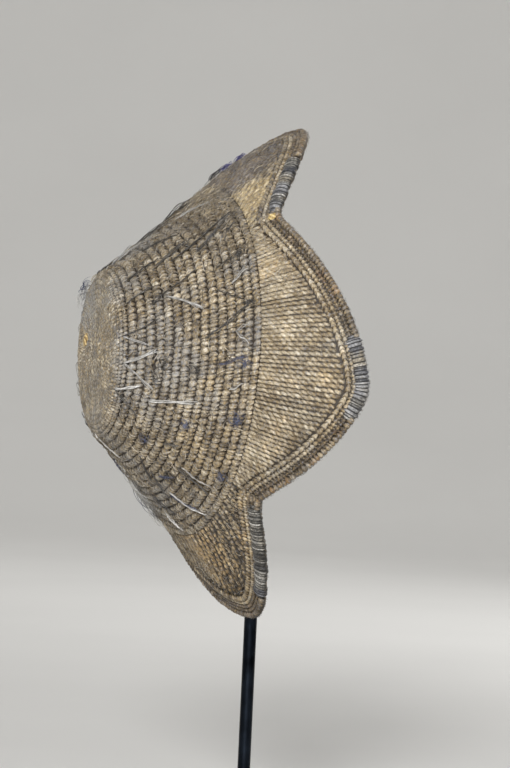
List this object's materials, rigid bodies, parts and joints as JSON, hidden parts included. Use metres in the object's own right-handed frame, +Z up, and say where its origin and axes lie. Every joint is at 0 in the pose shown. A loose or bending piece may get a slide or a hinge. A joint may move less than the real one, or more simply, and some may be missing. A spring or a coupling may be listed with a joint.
{
  "type": "raffia cap on a display stand",
  "caption": "Coiled raffia cap with a flat top and flared points, shown on its side on a thin metal rod with a plain square base.",
  "frame": {"origin": "middle of the base's underside, where the rod stands", "axes": "+Z up the rod, -X the way the crown's flat top points, +X the way the open side points, -Y the display's front"},
  "size_m": [0.1251, 0.1778, 0.281],
  "materials": {
    "coil_straw": "coiled raffia bundles, dry and dusty, with dark gaps between the rows",
    "cord_straw": "twisted raffia cord, slightly glossy golden straw",
    "edge_straw": "raffia roll wrapped with tan and blue-grey thread",
    "knot_straw": "golden raffia knot",
    "dark_steel": "dark steel rod, smooth with a long highlight",
    "black_paint": "black satin powder coat",
    "grey_felt": "dark grey felt over a firm head"
  },
  "bodies": {
    "root": {"crown": "coil_straw", "crown_knot": "knot_straw", "panel_front": "cord_straw", "edging_front": "cord_straw", "rim_front": "edge_straw", "panel_upper": "cord_straw", "edging_upper": "cord_straw", "rim_upper": "edge_straw", "panel_back": "cord_straw", "edging_back": "cord_straw", "rim_back": "edge_straw", "panel_lower": "cord_straw", "edging_lower": "cord_straw", "rim_lower": "edge_straw", "support_head": "grey_felt", "stand_rod": "dark_steel", "stand_base": "black_paint"}
  },
  "joints": []
}
